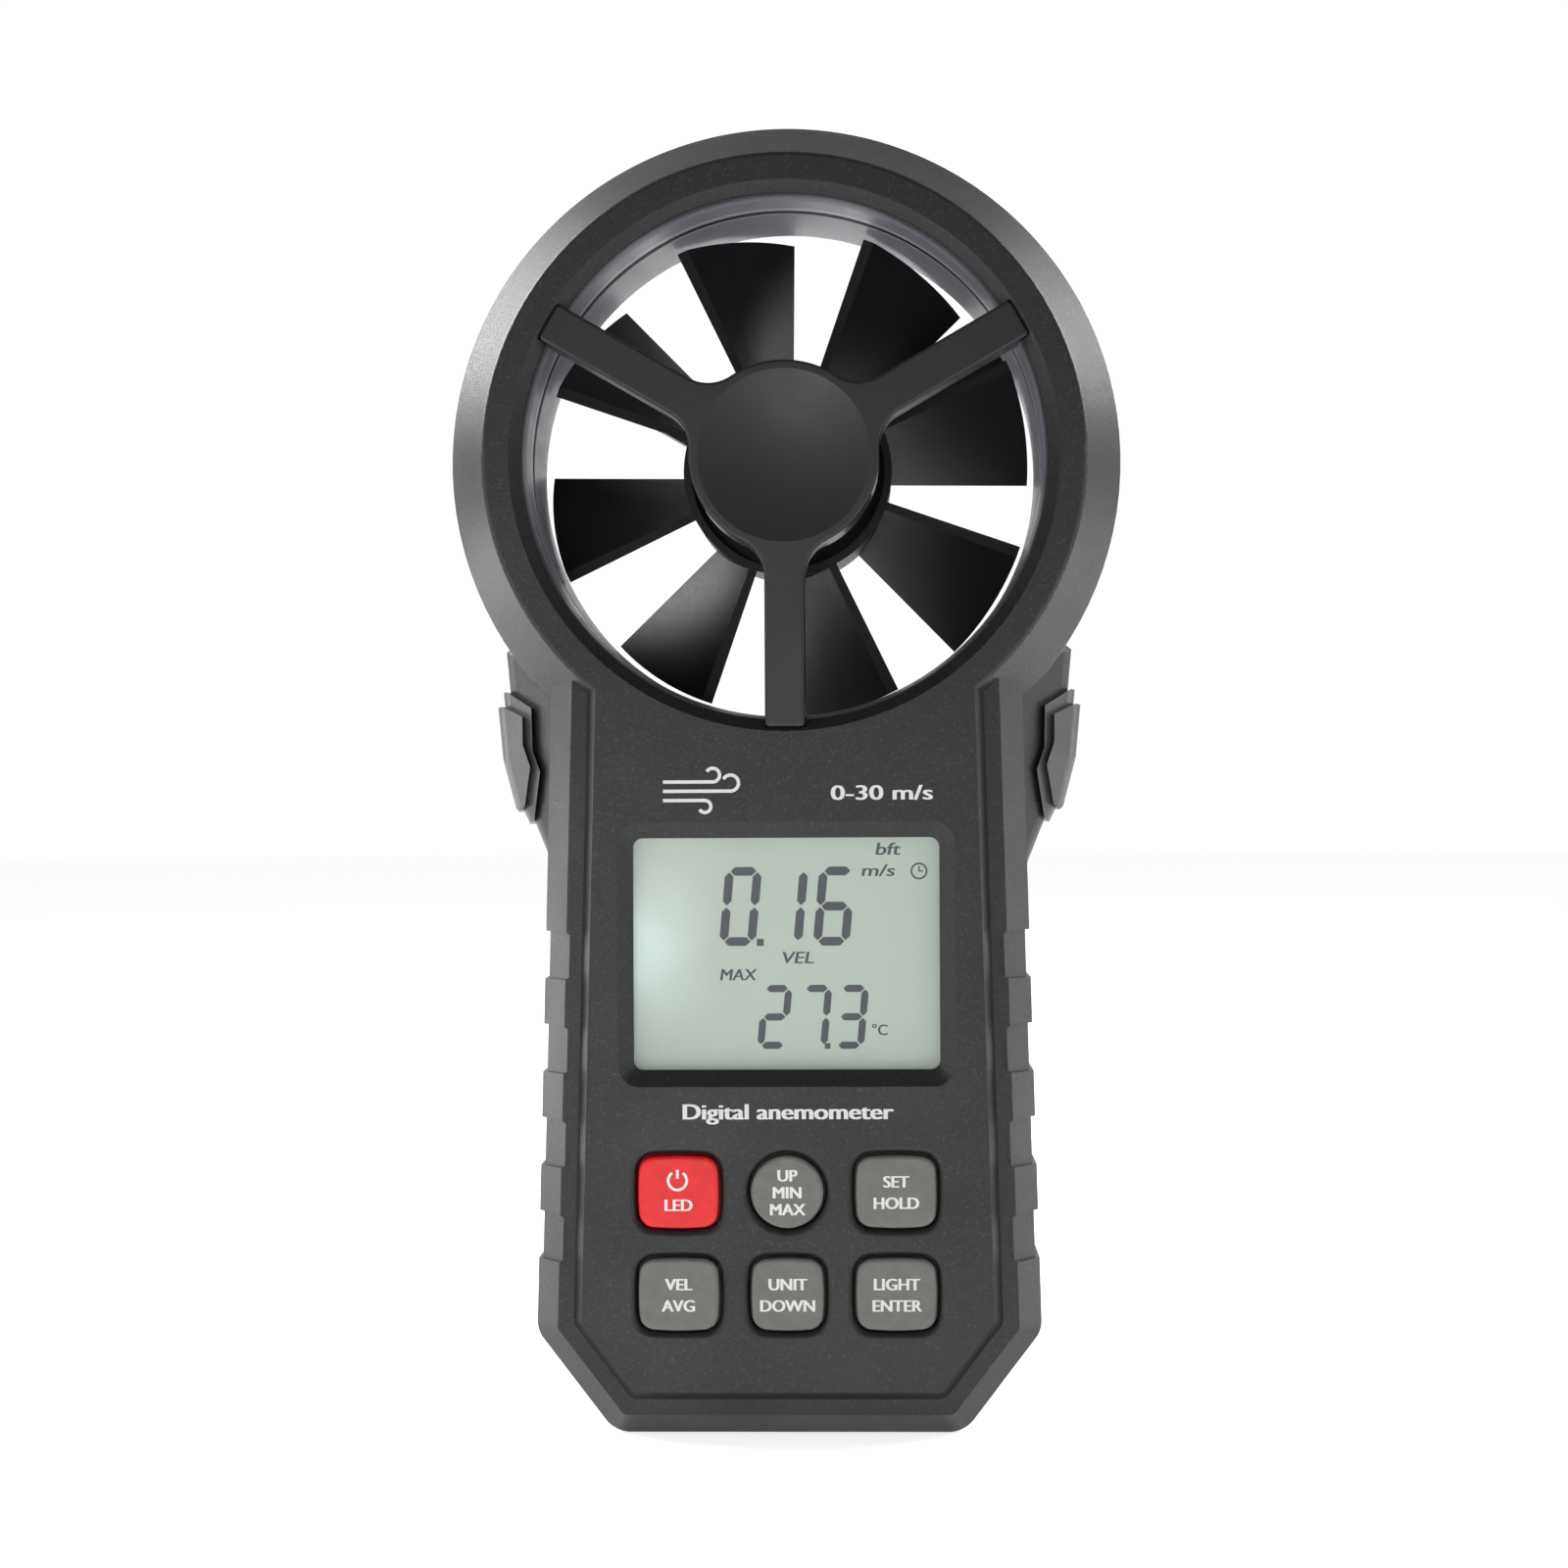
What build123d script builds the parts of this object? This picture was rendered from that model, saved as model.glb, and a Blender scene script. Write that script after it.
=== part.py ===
from build123d import *
import math
import os

# A handheld vane anemometer, standing upright. Millimetres.
# +Z runs up the instrument, the display faces -Y, and +X is to the viewer's right.
# The origin is the middle of the flat foot, half way through the depth.

# ---- overall ---------------------------------------------------------------
DEPTH = 38.0                # crowns of the keys to the back face
KEY_PROUD = 0.4             # the keys stand this far out of the panel
BACK = DEPTH / 2
FRONT = -DEPTH / 2 + KEY_PROUD
PARTING = FRONT + 10.0      # where the front and rear shells meet
WALL = 2.0

# ---- handle outline, half widths and heights -------------------------------
FOOT_HALF = 22.0
HIP_HALF = 31.8
HIP_Z = 12.8
NECK_HALF = 29.5
NECK_Z = 100.0
FOOT_CORNER = 4.0
HIP_CORNER = 3.6
FACET_IN = 3.0              # the flank facet comes in this far ...
FACET_FROM = 6.0            # ... from this depth behind the panel ...
STRIP_DOWN = 1.6            # ... to the strip, which lies this far below the panel
PANEL_IN = 5.0              # the panel's bevel starts here
BEVEL_IN = 1.1

# ---- ring and duct ---------------------------------------------------------
RING_Z = 122.5
RING_R = 42.5
RING_FACE_R = 37.6          # outer edge of the ring's flat face
RING_CONE_FROM = 8.8        # depth at which the outer cone starts
MOUTH_R = 34.35             # edge of the inlet chamfer on the face
LIP_R = 33.0
LIP_DOWN = 1.4
LIP_THICK = 0.6
BORE_R = 34.0               # seat of the duct rings
BORE_WALL_R = 35.9
CHANNEL_R = 40.5            # the hollow ring's outer inside radius
DUCT_R = 32.4
DUCT_OUTER_R = 33.9
DUCT_END = 9.9              # y of the duct's rear edge
SEAL_FROM = 10.5            # depths of the black seal in the duct
SEAL_TO = 12.8
LEDGE_R = 33.0              # ledge in the rear shell that the duct rests on
LEDGE_THICK = 1.4
OUTLET_R = 34.2
OUTLET_MOUTH = (35.1, 0.9)  # radius and depth of the rear chamfer

# ---- guards ----------------------------------------------------------------
GUARD_HUB_R = 11.9
DISH_R = 10.8
DISH_SAG = 0.9
ARM_WIDTH = 5.0
ARM_REACH = 33.8
REAR_ARM_REACH = 35.0
ARM_FILLET = 5.0
ARM_ANGLES = (30, 150, 270)
GUARD_THICK = 5.5
REAR_GUARD_THICK = 3.8
HUB_PLATE = 2.0             # the front hub is a cup with this floor ...
HUB_RIM = (1.2, 8.0)        # ... and a rim this thick, reaching this far behind the panel
FRONT_BOSS = 9.0            # the bearing bosses end this far in from each face
REAR_BOSS = 5.8
SLOT_GAP = 0.05

# ---- rotor -----------------------------------------------------------------
BLADES = 8
BLADE_TIP_R = 31.9
BLADE_FRONT = 0.8
BLADE_BACK = 14.0
BLADE_THICK = 1.0
BLADE_SPAN = 25.4           # degrees that one blade covers, seen from the front
BLADE_LEAD = 25.35           # degrees to the first blade's front edge
HUB_R = 13.6
HUB_WALL = 1.0
HUB_FRONT = 0.6
WEB_Y = (7.5, 6.0)
SLEEVE_R = 3.2              # the sleeve on the shaft
SLEEVE_Y = (12.0, -5.5)
MAGNET_R = 6.0
MAGNET_THICK = 1.6
SHAFT_R = 0.75
BEARING_R = 2.5
BEARING_GAP = 0.05
BEARING_LENGTH = 2.2
BOSS_R = 4.0
BOSS_STEP_R = 5.2           # step on the front boss that carries the sensor board

# ---- shoulders and side grips ----------------------------------------------
SHOULDER_HALF = 36.4
SHOULDER_Y = -1.6           # widest here
SHOULDER_SLOPE = 6.5        # comes in this far towards the front, over the run below
SHOULDER_RUN = 7.0
GRIP_PROUD = 1.8

# ---- grip notches on the flanks --------------------------------------------
NOTCH_Z = (25.0, 36.75, 48.5, 60.25)
NOTCH_LENGTH = 6.0
NOTCH_DEEP = 0.55
NOTCH_ON_STRIP = 0.95
NOTCH_CORNER = 1.5
NOTCH_BACK = 10.0

# ---- display ---------------------------------------------------------------
DISPLAY_Z = 60.45
BEZEL = (42.0, 32.9, 2.8)   # width, height, corner radius
WINDOW = (38.2, 28.9, 1.2)
BEZEL_DOWN = 1.5
LENS_FRONT = FRONT + WALL
LENS_THICK = 1.0
CELL_FRONT = -15.3
CELL_THICK = 1.8
GUIDE_THICK = 2.5

# ---- keys ------------------------------------------------------------------
KEY_PITCH_X = 13.5
KEY_ROW_TOP = 31.0
KEY_ROW_LOW = 18.3
KEY_WIDE = (10.0, 9.0)
KEY_SQUARE = (9.0, 9.0)
KEY_ROUND_R = 4.5
KEY_CORNER = 1.9
KEY_BULGE = 0.3
KEY_GAP = 0.25
KEY_FLANGE = 0.9
KEY_SOFT = 0.5
WELL_SOFT = 0.9
KEY_FLANGE_Y = (-15.3, -16.5)
PLUNGER_R = 2.0
PLUNGER_TIP = -12.0
MAT_Y = (-13.2, -14.0)

# ---- boards and battery ----------------------------------------------------
BOARD_FRONT = -10.4
BOARD_BACK = -8.8
BOARD_HALF = 21.5
BOARD_Z = (7.5, 84.5)
BATTERY = (26.5, 17.5, 48.5)
BAY_HALF = 13.9
BAY_FRONT = -3.3
BAY_Z = (10.5, 64.0)
BAY_WALL = 1.5
DOOR_HALF = 16.7
DOOR_Z = (8.0, 66.3)
DOOR_THICK = 1.8
DOOR_GAP = 0.3
DOOR_LUG_R = 3.3                # a round lug on the door's lower edge holds its screw
DOOR_LUG_THICK = 3.2
DOOR_SCREW_Z = 7.6
DOOR_SCREW_SEAT = BACK - 1.8

# ---- fasteners and tripod insert -------------------------------------------
CASE_SCREWS = ((24.8, 151.4), (24.8, 75.0), (24.7, 14.5))
CASE_BOSS_R = 2.6
SCREW_HEAD_R = 2.4
SCREW_SHANK_R = 1.25
SCREW_SEAT = -2.0
BOARD_SCREWS = ((17.0, 81.3), (18.6, 39.7))
INSERT_Z = 74.5
INSERT_R = 4.5
INSERT_BORE_R = 3.175
INSERT_LENGTH = 8.0

BOARD_RING = (BOSS_R + 0.1, 10.4)
SENSOR_BOARD_Y = (-12.2, -13.2)
LEAD_Y = SENSOR_BOARD_Y[1] - 0.55      # the sensor lead's depth in the front guard
LEAD_R = 0.5
LEAD_FOOT_Z = 82.5

RING_AXIS = Axis((0, 0, RING_Z), (0, 1, 0))
LEFT_RIGHT = (-1, 1)


# ---- helpers ---------------------------------------------------------------
def front_plane(y):
    """A drawing plane facing the viewer, with its own x along X and its own y along Z."""
    return Plane(origin=(0, y, 0), x_dir=(1, 0, 0), z_dir=(0, -1, 0))


def slab(shape, y_rear, y_front, taper=0.0):
    """A flat shape given depth, from its rear face towards the viewer."""
    return extrude(front_plane(y_rear) * shape, y_rear - y_front, taper=taper)


def rod(x, z, radius, y_rear, y_front):
    return slab(Pos(x, z) * Circle(radius), y_rear, y_front)


def block(x_range, y_range, z_range):
    low = [min(r) for r in (x_range, y_range, z_range)]
    size = [max(r) - min(r) for r in (x_range, y_range, z_range)]
    return Pos(*low) * Box(*size, align=(Align.MIN, Align.MIN, Align.MIN))


def turned(*points):
    """A body of revolution about the duct's axis, from (radius, y) points."""
    return revolve(Pos(0, 0, RING_Z) * Polygon(*points, align=None), RING_AXIS)


def disc(radius, y_rear, y_front):
    return rod(0, RING_Z, radius, y_rear, y_front)


def depth(distance):
    """The y of a plane that lies this far behind the panel."""
    return FRONT + distance


def lean(across, along):
    return math.degrees(math.atan2(across, along))


def flipped(shape):
    """The same shape turned to face the back."""
    return mirror(shape, about=Plane.XZ)


def at_key(x, z, shape):
    return Pos(x, z) * shape


# ---- handle ----------------------------------------------------------------
def handle_outline(inset=0.0, foot_corner=FOOT_CORNER, hip_corner=HIP_CORNER):
    right = [(FOOT_HALF, 0), (HIP_HALF, HIP_Z), (NECK_HALF, NECK_Z)]
    left = [(-x, z) for x, z in reversed(right)]
    shape = Polygon(*right, *left, align=None)
    if inset:
        shape = offset(shape, -inset, kind=Kind.INTERSECTION)
    by_height = shape.vertices().group_by(Axis.Y)
    shape = fillet(by_height[0], foot_corner)
    hips = [v for v in shape.vertices() if abs(v.Y - HIP_Z) < 4 and abs(v.X) > HIP_HALF - inset - 1]
    return fillet(hips, hip_corner)


def handle_front(inset=0.0, lift=0.0, back=PARTING):
    """Straight wall, flank facet, strip, bevel and panel of the front half."""
    outline = handle_outline(inset)
    panel = handle_outline(inset + PANEL_IN, 1.6, 1.6)
    facet_y = depth(FACET_FROM) + lift
    strip_y = depth(STRIP_DOWN) + lift
    body = slab(outline, back, facet_y)
    body += slab(outline, facet_y, strip_y, lean(FACET_IN, facet_y - strip_y))
    body += slab(panel, back, strip_y)
    body += slab(panel, strip_y, FRONT + lift, lean(BEVEL_IN, STRIP_DOWN))
    return body


def handle_rear(inset=0.0):
    """Straight wall and chamfered back of the rear half."""
    outline = handle_outline(inset)
    start = BACK - inset - (FACET_FROM - STRIP_DOWN)
    body = slab(outline, -PARTING, -start)
    body += slab(outline, -start, -(BACK - inset), lean(FACET_IN, FACET_FROM - STRIP_DOWN))
    return flipped(body)


def notches(floor):
    """Finger notches cut down to a floor that follows the flank."""
    inner = HIP_HALF - FACET_IN - NOTCH_ON_STRIP
    cuts = []
    for z in NOTCH_Z:
        lean_in = (z - HIP_Z) * (HIP_HALF - NECK_HALF) / (NECK_Z - HIP_Z)
        for side in LEFT_RIGHT:
            width = 2 * FACET_IN + 2 * NOTCH_ON_STRIP
            shape = Rectangle(width, NOTCH_LENGTH)
            inner_corners = shape.vertices().group_by(Axis.X)[0 if side > 0 else -1]
            shape = fillet(inner_corners, NOTCH_CORNER)
            cuts.append(Pos(side * (inner - lean_in + width / 2), z) * shape)
    prisms = [slab(cut, NOTCH_BACK, FRONT) for cut in cuts]
    return Part() + prisms - floor


def front_notch_floor():
    outline = handle_outline(NOTCH_DEEP)
    facet_y = depth(FACET_FROM)
    strip_y = depth(STRIP_DOWN) + 0.45
    run = facet_y - strip_y
    body = slab(outline, NOTCH_BACK, facet_y)
    return body + slab(outline, facet_y, strip_y, lean(FACET_IN + 0.4 - NOTCH_DEEP, run))


# ---- ring ------------------------------------------------------------------
def ring_half(face_y, towards):
    """Ring from the parting plane to one face; towards is +1 for a face at the back."""
    def y(distance):
        return face_y - towards * distance
    body = Polygon((LIP_R - 2, PARTING), (RING_R, PARTING), (RING_R, y(RING_CONE_FROM)),
                   (RING_FACE_R, face_y), (LIP_R - 2, face_y), align=None)
    edges = [v for v in body.vertices() if v.X > RING_FACE_R - 0.1 and v.Y != PARTING]
    edges = [v for v in edges if abs(v.Y - PARTING) > 0.5]
    body = fillet(edges, 0.6)
    return revolve(Pos(0, 0, RING_Z) * body, RING_AXIS)


def inlet_cutter():
    """Bore of the front shell, its lip and its chamfered mouth."""
    slack = MOUTH_R - LIP_R
    lip_back = depth(LIP_DOWN + LIP_THICK)
    return turned((0, PARTING), (BORE_R, PARTING), (BORE_R, lip_back), (LIP_R, lip_back),
                  (LIP_R, depth(LIP_DOWN)), (MOUTH_R + slack, depth(-LIP_DOWN)), (0, depth(-LIP_DOWN)))


def outlet_cutter():
    """Bore of the rear shell, with a ledge behind the duct and a chamfered mouth."""
    ledge = DUCT_END + SLOT_GAP
    mouth_r, mouth_deep = OUTLET_MOUTH
    return turned((0, PARTING), (BORE_R, PARTING), (BORE_R, ledge), (LEDGE_R, ledge),
                  (LEDGE_R, ledge + LEDGE_THICK), (OUTLET_R, ledge + LEDGE_THICK + 1.2),
                  (OUTLET_R, BACK - mouth_deep), (mouth_r, BACK), (mouth_r, BACK + 1), (0, BACK + 1))


def ring_channel(face_y, towards):
    def y(distance):
        return face_y - towards * distance
    return turned((BORE_WALL_R, PARTING), (CHANNEL_R, PARTING), (CHANNEL_R, y(RING_CONE_FROM + 1)),
                  (RING_FACE_R - 1.0, y(WALL)), (BORE_WALL_R, y(WALL)))


# ---- shoulders -------------------------------------------------------------
def shoulder_outline(grow=0.0):
    half = SHOULDER_HALF + grow
    right = [(18, 58.0), (28.6, 65.5), (half - 2.6, 78.5), (half - 0.9, 85.0), (half + 0.4, 99.0), (26, 108)]
    left = [(-x, z) for x, z in reversed(right)]
    return Polygon(*right, *left, align=None)


def shoulders(grow=0.0, rounded_edges=True):
    """The rear shell swells out under the ring on both sides."""
    outline = shoulder_outline(grow)
    front = slab(outline, SHOULDER_Y, SHOULDER_Y - SHOULDER_RUN, lean(SHOULDER_SLOPE, SHOULDER_RUN))
    back_run = 7.0
    wall = slab(outline, BACK - back_run, SHOULDER_Y)
    back = flipped(slab(outline, back_run - BACK, -BACK, lean(4.5, back_run)))
    body = front + wall + back
    if not rounded_edges:
        return body
    for y, radius in ((SHOULDER_Y, 4.0), (BACK - back_run, 3.0)):
        edges = body.edges().filter_by_position(Axis.Y, y - 0.01, y + 0.01)
        body = fillet([e for e in edges if abs(e.center().X) > 30], radius)
    return body


def side_grip():
    """The right shoulder's two-step rubber pad."""
    border = [(40, 93.2), (36.6, 93.8), (33.0, 91.6), (32.9, 86.2), (31.9, 83.4), (33.0, 77.2),
              (33.8, 76.6), (40, 80.5)]
    raised = [(40, 91.4), (37.2, 91.9), (34.2, 90.5), (34.2, 86.9), (33.2, 84.0), (34.2, 78.9),
              (35.0, 78.2), (40, 82.0)]
    y_rear, y_front = 8.0, -12.0
    low = slab(Polygon(*border, align=None), y_rear, y_front)
    high = slab(Polygon(*raised, align=None), y_rear - 1.4, y_front)
    pad = (low & shoulders(GRIP_PROUD / 2)) + (high & shoulders(GRIP_PROUD))
    return pad - shoulders()


# ---- guards ----------------------------------------------------------------
def arm_shape(width, reach):
    return Pos(reach / 2, 0) * Rectangle(reach, width)


def arms(width, reach):
    shape = Sketch()
    for angle in ARM_ANGLES:
        shape += Rot(0, 0, angle) * arm_shape(width, reach)
    return shape


def spider_outline(reach):
    shape = Circle(GUARD_HUB_R) + arms(ARM_WIDTH, reach)
    inner = [v for v in shape.vertices() if math.hypot(v.X, v.Y) < GUARD_HUB_R + 1]
    shape = fillet(inner, ARM_FILLET)
    outer = [v for v in shape.vertices() if math.hypot(v.X, v.Y) > reach - 1]
    return Pos(0, RING_Z) * fillet(outer, 0.5)


def guard(face_y, thick, reach):
    """Three arms and a hub with a dished cap."""
    plate = slab(spider_outline(reach), face_y + thick, face_y)
    rim = plate.edges().filter_by_position(Axis.Y, face_y - 0.01, face_y + 0.01)
    plate = fillet(rim, 0.4)
    ball_r = (DISH_R ** 2 + DISH_SAG ** 2) / (2 * DISH_SAG)
    return plate - Pos(0, face_y + DISH_SAG - ball_r, RING_Z) * Sphere(ball_r)


def bearing_seat(boss_end):
    """Cut for the bush, open towards the rotor, and room for the shaft's end."""
    seat = disc(BEARING_R, boss_end, boss_end - BEARING_LENGTH - 0.2)
    return seat + disc(SHAFT_R + 0.5, boss_end, boss_end - BEARING_LENGTH - 2.6)


def front_guard():
    """The hub is a cup that holds the sensor board, and the lower arm is grooved for its lead."""
    wall, reach = HUB_RIM
    body = guard(FRONT, GUARD_THICK, ARM_REACH) + disc(GUARD_HUB_R, depth(reach), depth(GUARD_THICK - 1))
    body -= disc(GUARD_HUB_R - wall, depth(reach + 1), depth(HUB_PLATE))
    body += disc(BOSS_R, depth(FRONT_BOSS), depth(HUB_PLATE - 0.5))
    body += disc(BOSS_STEP_R, SENSOR_BOARD_Y[1], depth(HUB_PLATE - 0.5))
    groove = block((-0.7, 0.7), (LEAD_Y - 0.65, depth(GUARD_THICK + 0.1)),
                   (RING_Z - ARM_REACH - 1, RING_Z - GUARD_HUB_R + wall + 0.5))
    return body - groove - bearing_seat(depth(FRONT_BOSS))


def rear_guard():
    body = guard(-BACK, REAR_GUARD_THICK, REAR_ARM_REACH)
    body += disc(BOSS_R, REAR_BOSS - BACK, REAR_GUARD_THICK - BACK - 0.5)
    return flipped(body - bearing_seat(REAR_BOSS - BACK))


def guard_slots(face_y, thick, reach):
    shape = Pos(0, RING_Z) * arms(ARM_WIDTH + 2 * SLOT_GAP, reach + SLOT_GAP)
    return slab(shape, face_y + thick + SLOT_GAP, face_y - 1)


def bearing(boss_end):
    """A plain bush in the guard's hub."""
    front = boss_end - BEARING_LENGTH - 0.2
    rear = front + BEARING_LENGTH
    return disc(BEARING_R, rear, front) - disc(SHAFT_R + BEARING_GAP, rear, front)


# ---- rotor -----------------------------------------------------------------
def blade():
    """A twisted plate whose front and rear edges both point at the axis."""
    half = math.radians(BLADE_SPAN / 2)
    mid_y = (BLADE_FRONT + BLADE_BACK) / 2
    half_y = (BLADE_BACK - BLADE_FRONT) / 2
    sections = []
    for out in (HUB_R - 0.8, BLADE_TIP_R + 2):
        side = out * math.tan(half)
        length = math.hypot(side, half_y)
        across = BLADE_THICK / 2 * length / half_y
        # local x is the blade's turning direction, local y points at the viewer
        face = Polygon((side - across, half_y), (side + across, half_y),
                       (-side + across, -half_y), (-side - across, -half_y), align=None)
        sections.append(Plane(origin=(out, mid_y, 0), x_dir=(0, 0, 1), z_dir=(1, 0, 0)) * face)
    return loft(sections, ruled=True)


def rotor():
    hub = disc(HUB_R, BLADE_BACK, HUB_FRONT) - disc(HUB_R - HUB_WALL, BLADE_BACK, HUB_FRONT)
    body = hub + disc(HUB_R - HUB_WALL / 2, *WEB_Y) + disc(SLEEVE_R, *SLEEVE_Y)
    tips = disc(BLADE_TIP_R, BLADE_BACK + 1, BLADE_FRONT - 1)
    one = Pos(0, 0, RING_Z) * blade()
    middle = BLADE_LEAD - BLADE_SPAN / 2
    for k in range(BLADES):
        turn = -(middle + k * 360 / BLADES)
        body += (one.rotate(RING_AXIS, turn)) & tips
    return body - disc(SHAFT_R, *SLEEVE_Y)


# ---- keys ------------------------------------------------------------------
def bulged(width, height, corner, grow=0.0):
    """A rectangle with slightly bowed sides and round corners."""
    w = width / 2 + grow
    h = height / 2 + grow
    b = KEY_BULGE
    sides = [ThreePointArc((-w + b, h - b), (0, h), (w - b, h - b)),
             ThreePointArc((w - b, h - b), (w, 0), (w - b, -h + b)),
             ThreePointArc((w - b, -h + b), (0, -h), (-w + b, -h + b)),
             ThreePointArc((-w + b, -h + b), (-w, 0), (-w + b, h - b))]
    shape = make_face(Wire(sides))
    return fillet(shape.vertices(), corner + grow)


def key_shape(kind, grow=0.0):
    if kind == "round":
        return Circle(KEY_ROUND_R + grow)
    size = KEY_WIDE if kind == "wide" else KEY_SQUARE
    return bulged(*size, KEY_CORNER, grow)


KEYS = {
    "key_power": (-KEY_PITCH_X, KEY_ROW_TOP, "wide"),
    "key_min_max": (0, KEY_ROW_TOP, "round"),
    "key_hold": (KEY_PITCH_X, KEY_ROW_TOP, "wide"),
    "key_average": (-KEY_PITCH_X, KEY_ROW_LOW, "wide"),
    "key_unit": (0, KEY_ROW_LOW, "square"),
    "key_light": (KEY_PITCH_X, KEY_ROW_LOW, "wide"),
}


def key(x, z, kind):
    """Cap, retaining flange and plunger."""
    crown = FRONT - KEY_PROUD
    cap = slab(at_key(x, z, key_shape(kind)), KEY_FLANGE_Y[0], crown)
    top = cap.edges().filter_by_position(Axis.Y, crown - 0.01, crown + 0.01)
    cap = fillet(top, KEY_SOFT)
    flange = slab(at_key(x, z, key_shape(kind, KEY_FLANGE)), *KEY_FLANGE_Y)
    return cap + flange + rod(x, z, PLUNGER_R, PLUNGER_TIP, KEY_FLANGE_Y[0])


# ---- shells ----------------------------------------------------------------
def mirrored_places(places):
    return [(side * x, z) for x, z in places for side in LEFT_RIGHT]


def rounded(width, height, corner, z):
    return Pos(0, z) * RectangleRounded(width, height, corner)


def front_shell():
    outer = handle_front() + ring_half(FRONT, -1)
    body = outer - notches(front_notch_floor()) - inlet_cutter()
    hollow = handle_front(WALL, WALL) + ring_channel(FRONT, -1)
    body -= hollow - disc(BORE_WALL_R, PARTING, FRONT)
    deep, face = front_plane(depth(BEZEL_DOWN)), front_plane(FRONT)
    body -= loft([deep * rounded(*WINDOW, DISPLAY_Z), face * rounded(*BEZEL, DISPLAY_Z)], ruled=True)
    body -= slab(rounded(*WINDOW, DISPLAY_Z), depth(WALL + 1), FRONT)
    for x, z, kind in KEYS.values():
        body -= slab(at_key(x, z, key_shape(kind, KEY_GAP)), depth(WALL + 1), FRONT - 1)
    rims = body.edges().filter_by_position(Axis.Y, FRONT - 0.01, FRONT + 0.01)
    wells = [e for e in rims if 12 < e.center().Z < KEY_ROW_TOP + 6 and abs(e.center().X) < 20]
    body = fillet(wells, WELL_SOFT)
    for x, z in mirrored_places(CASE_SCREWS):
        body += rod(x, z, CASE_BOSS_R, PARTING, -15.2) & outer
        body -= rod(x, z, SCREW_SHANK_R, PARTING, -13.5)
    for x, z in mirrored_places(BOARD_SCREWS):
        body += rod(x, z, 2.2, BOARD_FRONT, depth(WALL))
        body -= rod(x, z, 0.9, BOARD_FRONT, -15.2)
    body -= Pos(0, LEAD_Y, RING_Z - BORE_WALL_R) * Cylinder(LEAD_R + 0.3, 6)
    return body - guard_slots(FRONT, GUARD_THICK, ARM_REACH)


def battery_bay():
    """A box that is open at the back, and the ledge that the door rests on."""
    outer = block((-BAY_HALF - BAY_WALL, BAY_HALF + BAY_WALL), (BAY_FRONT - BAY_WALL, BACK - WALL),
                  (BAY_Z[0] - BAY_WALL, BAY_Z[1] + BAY_WALL))
    ledge_edge = DOOR_HALF + 2
    ledge = block((-ledge_edge, ledge_edge), (BACK - DOOR_THICK - 1.8, BACK - WALL),
                  (DOOR_Z[0] - 2, DOOR_Z[1] + 2))
    return outer + ledge


def rear_shell():
    outer = handle_rear() + ring_half(BACK, 1) + shoulders()
    body = outer - notches(handle_rear(NOTCH_DEEP))
    inside = handle_rear(WALL) + ring_channel(BACK, 1)
    inner_shoulders = shoulders(-WALL, False) & block((-50, 50), (PARTING, BACK - WALL), (60, 110))
    hollow = inside + inner_shoulders - disc(BORE_WALL_R, BACK, PARTING)
    body -= hollow
    bay = battery_bay()
    for x, z in mirrored_places(CASE_SCREWS):
        bay += rod(x, z, 3.6, BACK - 1, PARTING)
    bay += rod(0, INSERT_Z, INSERT_R + 1.6, BACK - 1, BACK - INSERT_LENGTH - 1.5)
    bay += rod(0, DOOR_SCREW_Z, 3.6, BACK - DOOR_LUG_THICK, BACK - 11)
    body += bay & outer
    body -= outlet_cutter()
    body -= block((-BAY_HALF, BAY_HALF), (BAY_FRONT, BACK + 1), BAY_Z)
    body -= block((-DOOR_HALF - DOOR_GAP, DOOR_HALF + DOOR_GAP), (BACK - DOOR_THICK, BACK + 1),
                  (DOOR_Z[0] - DOOR_GAP, DOOR_Z[1] + DOOR_GAP))
    body -= block((-5, 5), (BACK - 5, BACK - WALL), (BAY_Z[1] - 1, DOOR_Z[1] + 2))
    body -= block((-5, 5), (BACK - 5, BACK - DOOR_THICK), (BAY_Z[1] - 1, DOOR_Z[1] + DOOR_GAP))
    body -= block((-6, 6), (0, 10), (BAY_Z[1] - 1, BAY_Z[1] + BAY_WALL + 1))
    for x, z in mirrored_places(CASE_SCREWS):
        body -= rod(x, z, SCREW_HEAD_R + 0.3, BACK + 1, SCREW_SEAT)
        body -= rod(x, z, SCREW_SHANK_R + 0.25, SCREW_SEAT + 1, PARTING - 1)
    body -= rod(0, INSERT_Z, INSERT_R, BACK + 1, BACK - INSERT_LENGTH)
    body -= rod(0, DOOR_Z[0], DOOR_LUG_R + DOOR_GAP, BACK + 1, BACK - DOOR_LUG_THICK)
    body -= rod(0, DOOR_SCREW_Z, 1.7, BACK, BACK - 9)
    return body - flipped(guard_slots(-BACK, REAR_GUARD_THICK, REAR_ARM_REACH))


# ---- duct ------------------------------------------------------------------
def duct_front_ring():
    """Flared inlet ring, from the lip to the seal."""
    start = depth(LIP_DOWN + LIP_THICK + SLOT_GAP)
    body = turned((DUCT_OUTER_R, start), (LIP_R - 0.2, start), (DUCT_R + 0.05, start + 1.8),
                  (DUCT_R, start + 3.0), (DUCT_R, depth(SEAL_FROM)), (DUCT_OUTER_R, depth(SEAL_FROM)))
    return body - guard_slots(FRONT, GUARD_THICK, DUCT_OUTER_R)


def duct_gasket():
    return turned((DUCT_OUTER_R, depth(SEAL_FROM)), (DUCT_R + 0.1, depth(SEAL_FROM)),
                  (DUCT_R + 0.1, depth(SEAL_TO)), (DUCT_OUTER_R, depth(SEAL_TO)))


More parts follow.
